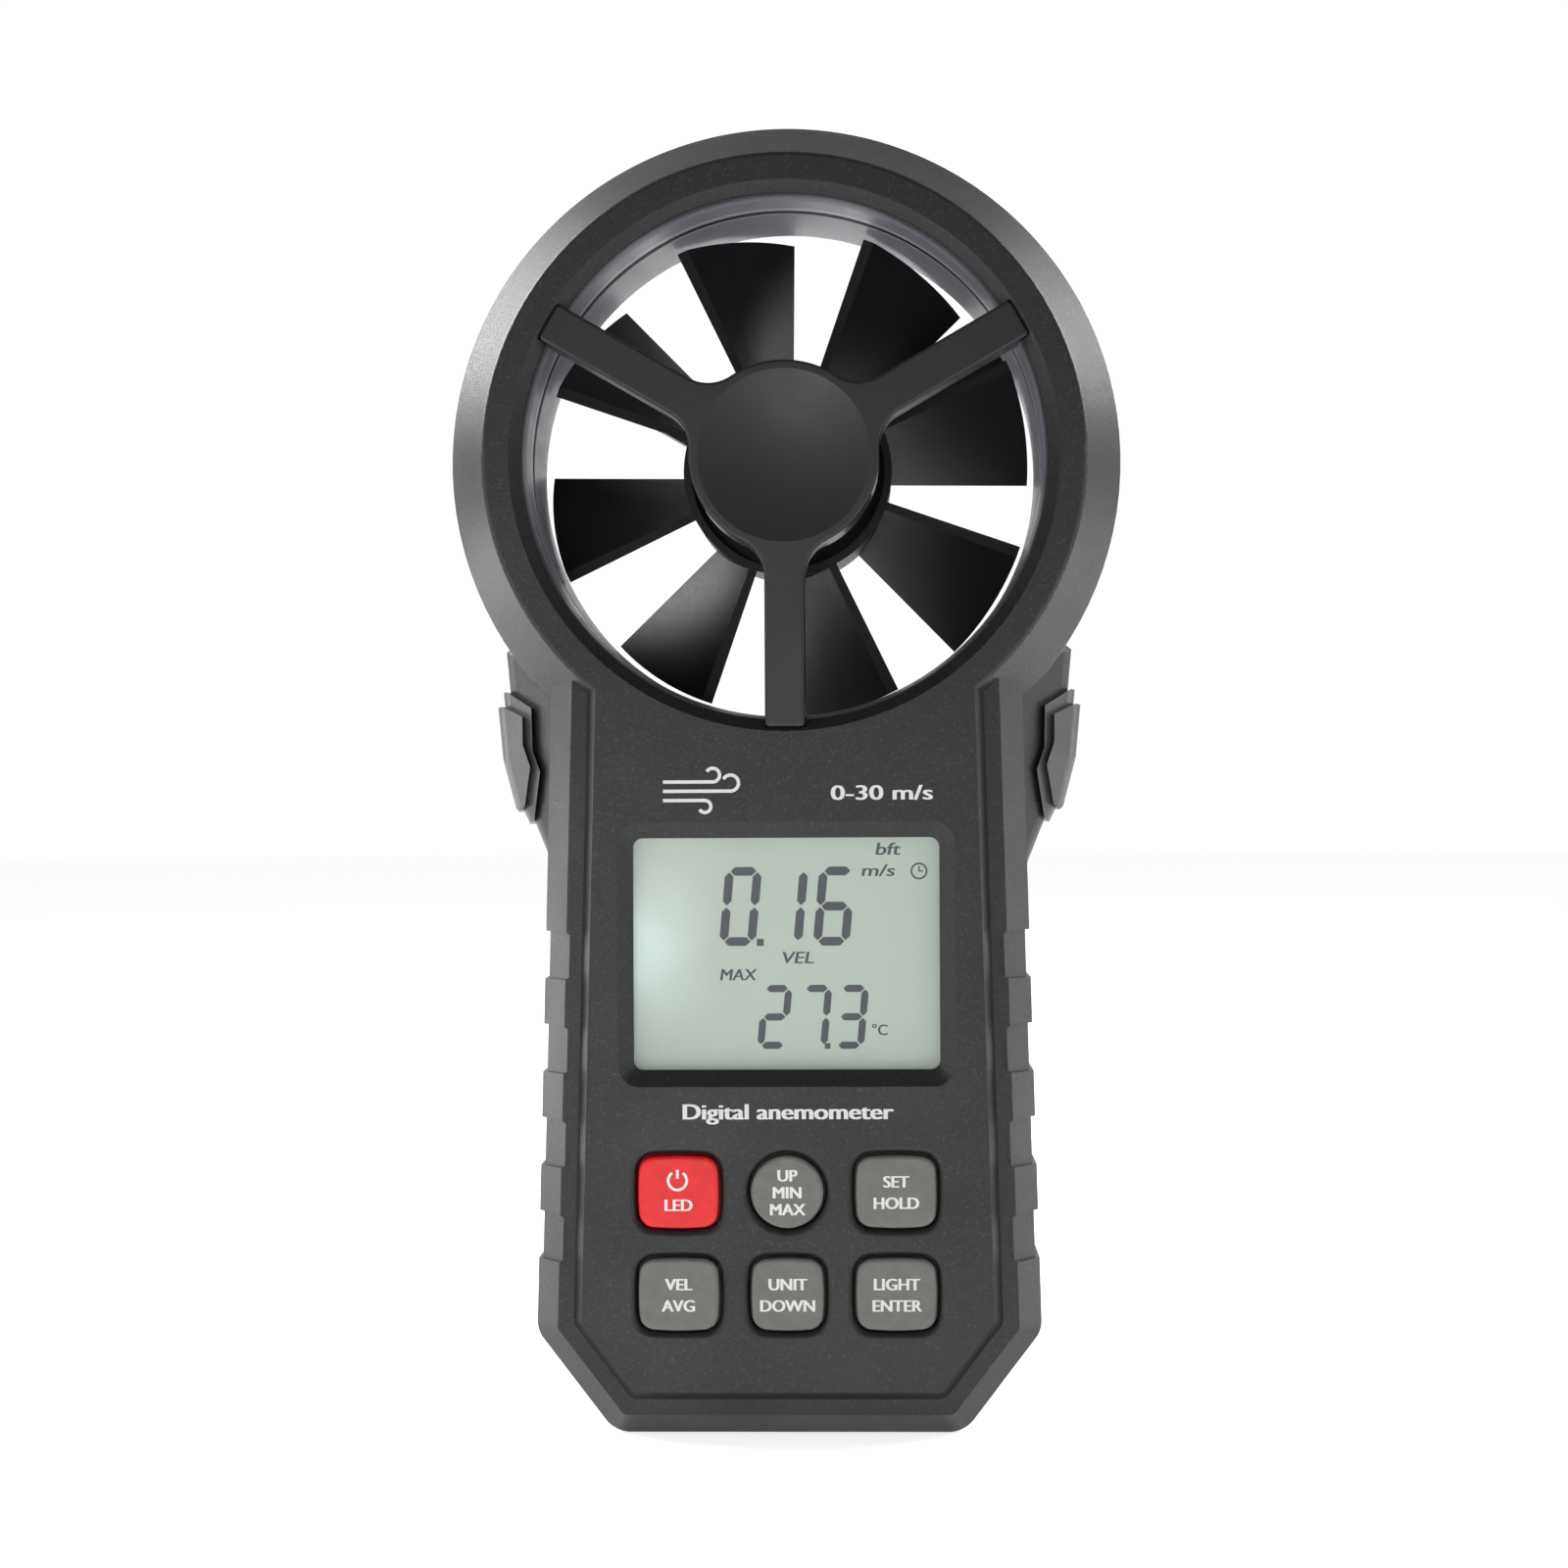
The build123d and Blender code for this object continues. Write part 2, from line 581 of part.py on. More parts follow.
def duct_rear_ring():
    """Straight ring with a fine step near its middle."""
    step_y = 3.7
    return turned((DUCT_OUTER_R, depth(SEAL_TO)), (DUCT_R, depth(SEAL_TO)), (DUCT_R, step_y),
                  (DUCT_R + 0.12, step_y + 0.1), (DUCT_R + 0.12, DUCT_END), (DUCT_OUTER_R, DUCT_END))


# ---- sensing ---------------------------------------------------------------
def sensor_board():
    return disc(BOARD_RING[1], *SENSOR_BOARD_Y) - disc(BOARD_RING[0], *SENSOR_BOARD_Y)


def hall_sensor():
    y = SENSOR_BOARD_Y[0]
    return block((-2.0, 2.0), (y, y + 0.9), (RING_Z - 8.6, RING_Z - 5.6))


def sensor_lead():
    """Cable from the sensor board, down the groove of the lower arm to the main board's plug."""
    top = RING_Z - BOARD_RING[1] + 0.6
    foot = Plane(origin=(0, LEAD_Y, LEAD_FOOT_Z), x_dir=(1, 0, 0), z_dir=(0, 0, 1))
    return extrude(foot * Circle(LEAD_R), top - LEAD_FOOT_Z)


def sensor_plug():
    body = block((-2.6, 2.6), (BOARD_FRONT - 4.5, BOARD_FRONT), (LEAD_FOOT_Z - 3.5, LEAD_FOOT_Z + 0.5))
    return body - Pos(0, LEAD_Y, LEAD_FOOT_Z + 0.5) * Cylinder(LEAD_R + 0.02, 1.0)


def thermistor():
    """Bead with its two legs on the board."""
    bead = Pos(12.0, BOARD_BACK + 2.2, 83.2) * Sphere(1.1)
    for side in LEFT_RIGHT:
        bead += rod(12.0 + side * 0.5, 83.2, 0.22, BOARD_BACK + 2.2, BOARD_BACK)
    return bead


# ---- display ---------------------------------------------------------------
LENS = (40.6, 31.3, 1.5)
GUIDE = (38.6, 27.6)
CELL_BACK = CELL_FRONT + CELL_THICK
GUIDE_BACK = CELL_BACK + GUIDE_THICK
CELL_Z = (DISPLAY_Z - 16.0, DISPLAY_Z + 15.6)
GUIDE_Z = (CELL_Z[1] - GUIDE[1], CELL_Z[1])


def display_window():
    return slab(rounded(*LENS, DISPLAY_Z), LENS_FRONT + LENS_THICK, LENS_FRONT)


def lcd_cell():
    return block((-19.9, 19.9), (CELL_FRONT, CELL_BACK), CELL_Z)


def lcd_backlight():
    return block((-GUIDE[0] / 2, GUIDE[0] / 2), (CELL_BACK, GUIDE_BACK), GUIDE_Z)


def backlight_leds():
    """Two side-firing lamps on the guide's left edge."""
    edge = -GUIDE[0] / 2
    lamps = [block((edge - 1.1, edge), (CELL_BACK + 0.6, GUIDE_BACK - 0.4), (z - 1.9, z + 1.9))
             for z in (DISPLAY_Z - 5.5, DISPLAY_Z + 6.5)]
    return Part() + lamps


def zebra_strip():
    return block((-17.5, 17.5), (CELL_BACK, BOARD_FRONT), (CELL_Z[0] + 0.3, CELL_Z[0] + 2.3))


def lcd_frame():
    wide = 20.1
    outer = block((-21.5, 21.5), (CELL_FRONT, BOARD_FRONT), (CELL_Z[0] - 1.5, CELL_Z[1] + 1.6))
    cell = block((-wide, wide), (CELL_FRONT - 1, GUIDE_BACK), (CELL_Z[0] - 0.2, CELL_Z[1] + 0.2))
    lead_slot = block((-17.8, 17.8), (CELL_BACK, BOARD_FRONT + 1), (CELL_Z[0], CELL_Z[0] + 2.6))
    lamp_room = block((-21.0, -wide + 1), (CELL_BACK, GUIDE_BACK), (DISPLAY_Z - 9, DISPLAY_Z + 10))
    return outer - cell - lead_slot - lamp_room


# ---- boards ----------------------------------------------------------------
def main_board():
    low, high = BOARD_Z
    cut = 5.0
    right = [(BOARD_HALF - cut, low), (BOARD_HALF, low + cut * 1.4), (BOARD_HALF, high - 4),
             (BOARD_HALF - 4, high)]
    shape = Polygon(*right, *[(-x, z) for x, z in reversed(right)], align=None)
    body = slab(shape, BOARD_BACK, BOARD_FRONT)
    for x, z in mirrored_places(BOARD_SCREWS):
        body -= rod(x, z, 1.1, BOARD_BACK, BOARD_FRONT)
    return body


def main_chip():
    """Square controller with short legs on all four sides."""
    half, z = 5.0, 40.0
    body = block((-half, half), (BOARD_BACK + 0.1, BOARD_BACK + 1.5), (z - half, z + half))
    for k in range(10):
        place = -4.05 + 0.9 * k
        leg_y = (BOARD_BACK, BOARD_BACK + 0.5)
        body += block((-half - 1, half + 1), leg_y, (z + place - 0.2, z + place + 0.2))
        body += block((place - 0.2, place + 0.2), leg_y, (z - half - 1, z + half + 1))
    return body


def key_domes():
    """One snap dome on the board under each key."""
    domes = [slab(at_key(x, z, Circle(2.6)), BOARD_FRONT, BOARD_FRONT - 0.5, 40) for x, z, _ in KEYS.values()]
    return Part() + domes


def keypad_mat():
    """Rubber sheet on a rim, with a hole round each plunger."""
    low, high = KEY_ROW_LOW - 4.9, KEY_ROW_TOP + 5.3
    half = KEY_PITCH_X + 5.6
    sheet = block((-half, half), MAT_Y, (low, high))
    rim = block((-half, half), (MAT_Y[0], BOARD_FRONT), (low, high))
    rim -= block((1 - half, half - 1), (MAT_Y[0], BOARD_FRONT), (low + 1, high - 1))
    body = sheet + rim
    for x, z, _ in KEYS.values():
        body -= rod(x, z, PLUNGER_R + 0.6, MAT_Y[0], MAT_Y[1])
    return body


def buzzer():
    body = rod(-11.5, 72.3, 6.0, BOARD_BACK + 3.8, BOARD_BACK)
    return body - rod(-11.5, 72.3, 1.0, BOARD_BACK + 3.8, BOARD_BACK + 3.2)


# ---- battery ---------------------------------------------------------------
BATTERY_Y = (-2.9, -2.9 + BATTERY[1])
BATTERY_Z = (BAY_Z[0] + 0.3, BAY_Z[0] + 0.3 + BATTERY[2] - 2.5)
STUD_HALF = 6.35


def battery():
    """Block battery with its two snap studs on top."""
    half = BATTERY[0] / 2
    body = block((-half, half), BATTERY_Y, BATTERY_Z)
    body = fillet(body.edges().filter_by(Axis.Z), 2.0)
    middle = sum(BATTERY_Y) / 2
    for x, radius in ((-STUD_HALF, 2.8), (STUD_HALF, 3.9)):
        stud = Cylinder(radius, 2.4, align=(Align.CENTER, Align.CENTER, Align.MIN))
        body += Pos(x, middle, BATTERY_Z[1]) * stud
    return body


def battery_snap():
    middle = sum(BATTERY_Y) / 2
    body = block((-12.2, 12.2), (middle - 5.8, middle + 5.8), (BATTERY_Z[1] + 0.1, BATTERY_Z[1] + 3.9))
    body = fillet(body.edges().filter_by(Axis.Z), 3.0)
    for x, radius in ((-STUD_HALF, 2.8), (STUD_HALF, 3.9)):
        hole = Cylinder(radius + 0.05, 2.6, align=(Align.CENTER, Align.CENTER, Align.MIN))
        body -= Pos(x, middle, BATTERY_Z[1]) * hole
    return body


LEADS_Z = 69.5


def battery_leads():
    """Red and black wires from the snap to the board."""
    middle = sum(BATTERY_Y) / 2 - 2.5
    wires = []
    for x in (-2.6, 2.6):
        start, turn = (x, middle, BATTERY_Z[1] + 3.9), (x, middle, LEADS_Z)
        path = FilletPolyline(start, turn, (x, BOARD_BACK, LEADS_Z), radius=4)
        start = Plane(origin=path @ 0, z_dir=path % 0)
        wires.append(sweep(start * Circle(0.6), path))
    return Part() + wires


def battery_door():
    """Lid with a hooked top edge, a lug for its screw and a ribbed thumb patch."""
    inner = BACK - DOOR_THICK
    body = block((-DOOR_HALF, DOOR_HALF), (inner, BACK), DOOR_Z)
    body = fillet(body.edges().filter_by(Axis.Y), 1.5)
    body += block((-4, 4), (inner - 1.6, inner + 0.5), (DOOR_Z[1] - 4.8, DOOR_Z[1] - 2.7))
    body += block((-4, 4), (inner - 1.6, inner - 0.4), (DOOR_Z[1] - 4.8, DOOR_Z[1] + 1.2))
    body += rod(0, DOOR_Z[0], DOOR_LUG_R, BACK, BACK - DOOR_LUG_THICK + DOOR_GAP)
    body -= rod(0, DOOR_SCREW_Z, 2.3, BACK + 1, DOOR_SCREW_SEAT)
    body -= rod(0, DOOR_SCREW_Z, 1.35, BACK + 1, BACK - DOOR_LUG_THICK)
    for k in range(5):
        rib = block((-7, 7), (BACK - 0.5, BACK + 1), (DOOR_Z[1] - 8.6 - 1.8 * k, DOOR_Z[1] - 7.7 - 1.8 * k))
        body -= rib
    return body


def door_foam():
    inner = BACK - DOOR_THICK
    return block((-9, 9), (inner - 2.0, inner), (20, 48))


def screw(x, z, seat, head_thick, shank_end, head_r, shank_r):
    """Cross-recessed pan head whose shank runs towards the front."""
    body = rod(x, z, head_r, seat + head_thick, seat) + rod(x, z, shank_r, seat, shank_end)
    top = seat + head_thick
    for half_x, half_z in ((0.25, head_r * 0.55), (head_r * 0.55, 0.25)):
        body -= block((x - half_x, x + half_x), (top - 0.8, top), (z - half_z, z + half_z))
    return body


def case_screws():
    return Part() + [screw(x, z, SCREW_SEAT, 1.8, -13.2, SCREW_HEAD_R, SCREW_SHANK_R)
                     for x, z in mirrored_places(CASE_SCREWS)]


def board_screws():
    return Part() + [screw(x, z, BOARD_BACK, 1.2, -14.6, 1.9, 0.9) for x, z in mirrored_places(BOARD_SCREWS)]


def tripod_insert():
    body = rod(0, INSERT_Z, INSERT_R, BACK, BACK - INSERT_LENGTH)
    return body - rod(0, INSERT_Z, INSERT_BORE_R, BACK, BACK - INSERT_LENGTH)


def rotor_shaft():
    end_room = BEARING_LENGTH + 1.4
    return disc(SHAFT_R, BACK - REAR_BOSS + end_room, depth(FRONT_BOSS) - end_room)


def rotor_magnet():
    front = SLEEVE_Y[1]
    return disc(MAGNET_R, front + MAGNET_THICK, front) - disc(SLEEVE_R + 0.02, front + MAGNET_THICK, front)


PIECES = {
    "front_shell": front_shell,
    "rear_shell": rear_shell,
    "side_grip_left": lambda: mirror(side_grip(), about=Plane.YZ),
    "side_grip_right": side_grip,
    "front_guard": front_guard,
    "rear_guard": rear_guard,
    "duct_front_ring": duct_front_ring,
    "duct_gasket": duct_gasket,
    "duct_rear_ring": duct_rear_ring,
    "rotor": rotor,
    "rotor_shaft": rotor_shaft,
    "rotor_magnet": rotor_magnet,
    "front_bearing": lambda: bearing(depth(FRONT_BOSS)),
    "rear_bearing": lambda: flipped(bearing(REAR_BOSS - BACK)),
    "sensor_board": sensor_board,
    "hall_sensor": hall_sensor,
    "sensor_lead": sensor_lead,
    "sensor_plug": sensor_plug,
    "thermistor": thermistor,
    "display_window": display_window,
    "lcd_cell": lcd_cell,
    "lcd_backlight": lcd_backlight,
    "backlight_leds": backlight_leds,
    "zebra_strip": zebra_strip,
    "lcd_frame": lcd_frame,
    "main_board": main_board,
    "main_chip": main_chip,
    "key_domes": key_domes,
    "keypad_mat": keypad_mat,
    "buzzer": buzzer,
    "battery": battery,
    "battery_snap": battery_snap,
    "battery_leads": battery_leads,
    "battery_door": battery_door,
    "door_foam": door_foam,
    "door_screw": lambda: screw(0, DOOR_SCREW_Z, DOOR_SCREW_SEAT, 1.4, BACK - 7.5, 2.1, 1.25),
    "case_screws": case_screws,
    "board_screws": board_screws,
    "tripod_insert": tripod_insert,
}

os.makedirs("parts", exist_ok=True)
for name, make in PIECES.items():
    export_step(make(), f"parts/{name}.step")
for name, (x, z, kind) in KEYS.items():
    export_step(key(x, z, kind), f"parts/{name}.step")
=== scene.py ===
import math

import bmesh
import bpy
from mathutils import Matrix, Vector


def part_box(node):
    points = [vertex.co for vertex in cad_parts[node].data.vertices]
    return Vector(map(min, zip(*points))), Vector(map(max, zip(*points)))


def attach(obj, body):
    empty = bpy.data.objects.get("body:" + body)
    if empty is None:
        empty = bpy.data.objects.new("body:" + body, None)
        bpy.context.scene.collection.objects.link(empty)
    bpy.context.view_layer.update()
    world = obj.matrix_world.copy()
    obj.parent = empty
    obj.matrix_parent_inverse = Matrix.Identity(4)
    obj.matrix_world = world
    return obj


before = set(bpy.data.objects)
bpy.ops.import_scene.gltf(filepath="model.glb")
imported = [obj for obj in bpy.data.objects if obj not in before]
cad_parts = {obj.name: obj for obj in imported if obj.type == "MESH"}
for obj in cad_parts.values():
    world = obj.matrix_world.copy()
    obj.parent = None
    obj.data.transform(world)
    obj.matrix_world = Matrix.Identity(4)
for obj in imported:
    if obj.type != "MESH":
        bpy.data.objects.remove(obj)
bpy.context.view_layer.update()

MM = 0.001
SCENE = bpy.context.scene


def place(node, x=0.5, y=0.5, z=0.5):
    """A point in a node's box, in millimetres, from fractions of its size."""
    low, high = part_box(node)
    return Vector([(a + (b - a) * t) / MM for a, b, t in zip(low, high, (x, y, z))])


PANEL_Y = place("front_guard", y=0).y       # the guard's hub is level with the panel
KEY_Y = place("key_power", y=0).y
CELL_Y = place("lcd_cell", y=0).y
DISPLAY = place("display_window")


# ---- materials -------------------------------------------------------------
class Graph:
    """A material's node tree, with object coordinates in millimetres."""

    def __init__(self, name):
        self.material = bpy.data.materials.new(name)
        self.material.use_nodes = True
        self.tree = self.material.node_tree
        self.shader = self.tree.nodes["Principled BSDF"]
        coords = self.add("ShaderNodeTexCoord")
        self.mm = self.add("ShaderNodeMapping", {"Scale": (1 / MM, 1 / MM, 1 / MM)})
        self.link(coords.outputs["Object"], self.mm.inputs["Vector"])

    def add(self, kind, inputs=None, **settings):
        node = self.tree.nodes.new(kind)
        for key, value in settings.items():
            setattr(node, key, value)
        for key, value in (inputs or {}).items():
            if isinstance(value, bpy.types.NodeSocket):
                self.link(value, node.inputs[key])
            else:
                node.inputs[key].default_value = value
        return node

    def link(self, source, target):
        self.tree.links.new(source, target)

    def noise(self, per_mm, detail=3.0, roughness=0.55, stretch=None):
        vector = self.mm.outputs[0]
        if stretch:
            mapping = self.add("ShaderNodeMapping", {"Vector": vector, "Scale": stretch})
            vector = mapping.outputs[0]
        return self.add("ShaderNodeTexNoise", {"Vector": vector, "Scale": per_mm, "Detail": detail,
                                               "Roughness": roughness}).outputs["Fac"]

    def ramp(self, value, *stops):
        node = self.add("ShaderNodeValToRGB", {"Fac": value})
        elements = node.color_ramp.elements
        while len(elements) < len(stops):
            elements.new(0.5)
        for element, (position, level) in zip(elements, stops):
            element.position = position
            element.color = (*level, 1) if isinstance(level, tuple) else (level, level, level, 1)
        return node.outputs["Color"]

    def fit(self, value, low, high, to_low, to_high):
        return self.add("ShaderNodeMapRange", {"Value": value, "From Min": low, "From Max": high,
                                               "To Min": to_low, "To Max": to_high}).outputs[0]

    def blend(self, factor, a, b, mode="MIX"):
        node = self.add("ShaderNodeMix", data_type="RGBA", blend_type=mode)
        for key, value in (("Factor", factor), ("A", a), ("B", b)):
            sockets = [s for s in node.inputs if s.name == key and s.enabled]
            if isinstance(value, bpy.types.NodeSocket):
                self.link(value, sockets[0])
            else:
                sockets[0].default_value = value if key == "Factor" else (*value, 1)
        return [s for s in node.outputs if s.enabled][0]

    def maths(self, operation, a, b=0.0):
        node = self.add("ShaderNodeMath", operation=operation)
        for socket, value in zip(node.inputs, (a, b)):
            if isinstance(value, bpy.types.NodeSocket):
                self.link(value, socket)
            else:
                socket.default_value = value
        return node.outputs[0]

    def bump(self, height, strength, distance_mm):
        bump = self.add("ShaderNodeBump", {"Height": height, "Strength": strength,
                                           "Distance": distance_mm * MM})
        self.link(bump.outputs[0], self.shader.inputs["Normal"])

    def set(self, **values):
        for key, value in values.items():
            socket = self.shader.inputs[key.replace("_", " ")]
            if isinstance(value, bpy.types.NodeSocket):
                self.link(value, socket)
            elif isinstance(value, tuple):
                socket.default_value = (*value, 1)
            else:
                socket.default_value = value


def scaled(colour, factor):
    """A colour made darker or paler, and kept within range."""
    return tuple(min(1.0, c * factor) for c in colour)


def spark_plastic(name, colour, rough, glint_strength, grain=3.2, depth_mm=0.03, strength=0.5):
    """Moulded plastic with a spark-eroded grain: fine pits, painted glints as pale spots, and slight
    polish.
    """
    g = Graph(name)
    pits = g.noise(grain, 4, 0.65)
    cloud = g.noise(0.05, 2)
    base = g.blend(g.ramp(cloud, (0.35, 0), (0.65, 1)), scaled(colour, 0.92), scaled(colour, 1.08))
    # the pale spots on the pits are painted glints standing in for the sparkle of the grain
    painted_glints = g.ramp(pits, (0.55, 0), (0.70, 1))
    g.set(Base_Color=g.blend(g.maths("MULTIPLY", painted_glints, glint_strength), base, scaled(colour, 4.5)))
    g.set(Roughness=g.fit(g.maths("ADD", cloud, g.maths("MULTIPLY", pits, 0.5)), 0.5, 1.0,
                          rough + 0.07, rough - 0.07))
    g.bump(pits, strength, depth_mm)
    return g


def smooth_plastic(name, colour, rough, wave=0.12, strength=0.1, **settings):
    """Polished or satin moulding with faint flow waves and handling marks."""
    g = Graph(name)
    flow = g.noise(wave, 2)
    dust = g.noise(1.8, 4, 0.7)
    waves = g.ramp(flow, (0.3, 0), (0.7, 1))
    g.set(Base_Color=g.blend(waves, scaled(colour, 0.9), scaled(colour, 1.1)))
    g.set(Roughness=g.fit(dust, 0.35, 0.75, max(0.03, rough - 0.04), rough + 0.06))
    g.bump(g.maths("ADD", flow, g.maths("MULTIPLY", dust, 0.08)), strength, 0.08)
    g.set(**settings)
    return g


def metal(name, colour, rough, turned=(0.2, 6.0, 0.2)):
    """Turned or drawn metal with fine lines."""
    g = Graph(name)
    lines = g.noise(1.2, 3, 0.6, turned)
    marks = g.ramp(lines, (0.3, 0), (0.7, 1))
    g.set(Base_Color=g.blend(marks, scaled(colour, 0.8), scaled(colour, 1.05)))
    g.set(Roughness=g.fit(lines, 0.3, 0.7, rough - 0.07, rough + 0.1), Metallic=1.0)
    g.bump(lines, 0.2, 0.02)
    return g


def key_silicone(name, colour):
    """Translucent moulded silicone, a little dusty."""
    g = Graph(name)
    mottle = g.noise(0.7, 3)
    dust = g.noise(7.0, 4, 0.7)
    base = g.blend(g.ramp(mottle, (0.35, 0), (0.65, 1)), scaled(colour, 0.93), scaled(colour, 1.07))
    specks = g.ramp(dust, (0.66, 0), (0.75, 1))
    base = g.blend(g.maths("MULTIPLY", specks, 0.35), base, scaled(colour, 1.7))
    g.set(Base_Color=base, Roughness=g.fit(dust, 0.35, 0.7, 0.38, 0.55))
    g.set(Subsurface_Weight=0.25, Subsurface_Scale=1.2 * MM)
    g.shader.inputs["Subsurface Radius"].default_value = (1.0, 0.8, 0.6)
    g.bump(g.maths("ADD", mottle, g.maths("MULTIPLY", dust, 0.4)), 0.25, 0.03)
    return g


def duct_plastic(name):
    """Smoky grey moulding with colour painted in bands along its depth: painted shade near the mouth
    and behind the seal, and a painted reflection band just ahead of the seal.
    """
    g = Graph(name)
    draw = g.noise(0.35, 3, 0.6, (1, 0.15, 1))
    haze = g.noise(0.08, 2)
    y = g.add("ShaderNodeSeparateXYZ", {"Vector": g.mm.outputs[0]}).outputs[1]
    front, seal, rear = (place(n, y=t).y for n, t in (("duct_front_ring", 0), ("duct_gasket", 0.5),
                                                      ("duct_rear_ring", 1)))
    span = rear - front
    # painted shade at the mouth and behind the seal, and a painted reflection band ahead of the seal,
    # set by depth
    shade = g.ramp(g.fit(y, front, rear, 0, 1),
                   (0.0, (0.03, 0.03, 0.035)), (1.2 / span, (0.2, 0.205, 0.24)),
                   ((seal - front - 3.0) / span, (0.27, 0.275, 0.31)),
                   ((seal - front - 2.6) / span, (0.55, 0.555, 0.6)),
                   ((seal - front + 1.6) / span, (0.34, 0.345, 0.375)), (1.0, (0.48, 0.49, 0.53)))
    g.set(Base_Color=g.blend(g.maths("MULTIPLY", haze, 0.3), shade, (0.12, 0.125, 0.15)))
    g.set(Roughness=g.fit(draw, 0.35, 0.7, 0.36, 0.48), IOR=1.45)
    g.bump(draw, 0.12, 0.03)
    return g


def lcd_glass(name):
    """Pale reflective display, brighter beside its two lamps at the left edge."""
    g = Graph(name)
    x, _, z = g.add("ShaderNodeSeparateXYZ", {"Vector": g.mm.outputs[0]}).outputs
    mottle = g.noise(0.6, 3)
    glow = 0.0
    left = place("lcd_cell", x=0).x
    reach = 11.0        # how far a lamp's glow carries, mm
    for lamp_z in (0.27, 0.72):
        dx = g.maths("SUBTRACT", x, left)
        dz = g.maths("SUBTRACT", z, place("backlight_leds", z=lamp_z).z)
        tall = g.maths("MULTIPLY", g.maths("MULTIPLY", dz, dz), 1.6)
        distance = g.maths("SQRT", g.maths("ADD", g.maths("MULTIPLY", dx, dx), tall))
        glow = g.maths("ADD", glow, g.fit(distance, 0.0, reach, 1.0, 0.0))
    level = g.maths("ADD", g.maths("MULTIPLY", glow, 0.5), g.maths("MULTIPLY", mottle, 0.06))
    colour = g.ramp(level, (0.03, (0.33, 0.385, 0.335)), (0.3, (0.40, 0.475, 0.43)),
                    (0.8, (0.62, 0.76, 0.73)))
    g.set(Base_Color=colour, Emission_Color=colour, Emission_Strength=0.42)
    g.set(Roughness=g.fit(mottle, 0.3, 0.7, 0.35, 0.45))
    g.bump(g.noise(12, 2), 0.03, 0.003)
    return g


def window_plastic(name):
    g = Graph(name)
    smear = g.noise(0.15, 3)
    g.set(Base_Color=g.blend(smear, (0.86, 0.9, 0.9), (0.93, 0.97, 0.96)),
          Roughness=g.fit(smear, 0.3, 0.7, 0.04, 0.1), Alpha=0.04, IOR=1.49)
    return g


def laminate(name):
    g = Graph(name)
    weave = g.add("ShaderNodeTexWave", {"Vector": g.mm.outputs[0], "Scale": 1.4, "Distortion": 0.5})
    mask = g.noise(0.9, 3)
    g.set(Base_Color=g.blend(mask, (0.02, 0.14, 0.06), (0.04, 0.2, 0.09)),
          Roughness=g.fit(mask, 0.3, 0.7, 0.3, 0.42))
    g.bump(weave.outputs["Fac"], 0.15, 0.02)
    return g


def striped_rubber(name):
    g = Graph(name)
    stripes = g.add("ShaderNodeTexWave", {"Vector": g.mm.outputs[0], "Scale": 1.3},
                    bands_direction="X")
    g.set(Base_Color=g.blend(g.ramp(stripes.outputs["Fac"], (0.4, 0), (0.6, 1)), (0.75, 0.55, 0.62),
                             (0.05, 0.05, 0.05)), Roughness=g.fit(g.noise(2), 0.3, 0.7, 0.5, 0.65))
    return g


def foam(name):
    g = Graph(name)
    cells = g.add("ShaderNodeTexVoronoi", {"Vector": g.mm.outputs[0], "Scale": 2.2})
    g.set(Base_Color=g.blend(cells.outputs["Distance"], (0.03, 0.03, 0.03), (0.12, 0.12, 0.12)),
          Roughness=g.fit(cells.outputs["Distance"], 0, 1, 0.8, 0.95))
    g.bump(cells.outputs["Distance"], 0.6, 0.3)
    return g


def ink(name, colour, rough=0.5):
    g = Graph(name)
    grain = g.noise(6.0, 4, 0.7)
    worn = g.ramp(grain, (0.4, 0), (0.6, 1))
    g.set(Base_Color=g.blend(worn, scaled(colour, 0.9), scaled(colour, 1.0)),
          Roughness=g.fit(grain, 0.3, 0.7, rough - 0.05, rough + 0.08))
    g.bump(grain, 0.2, 0.01)
    return g


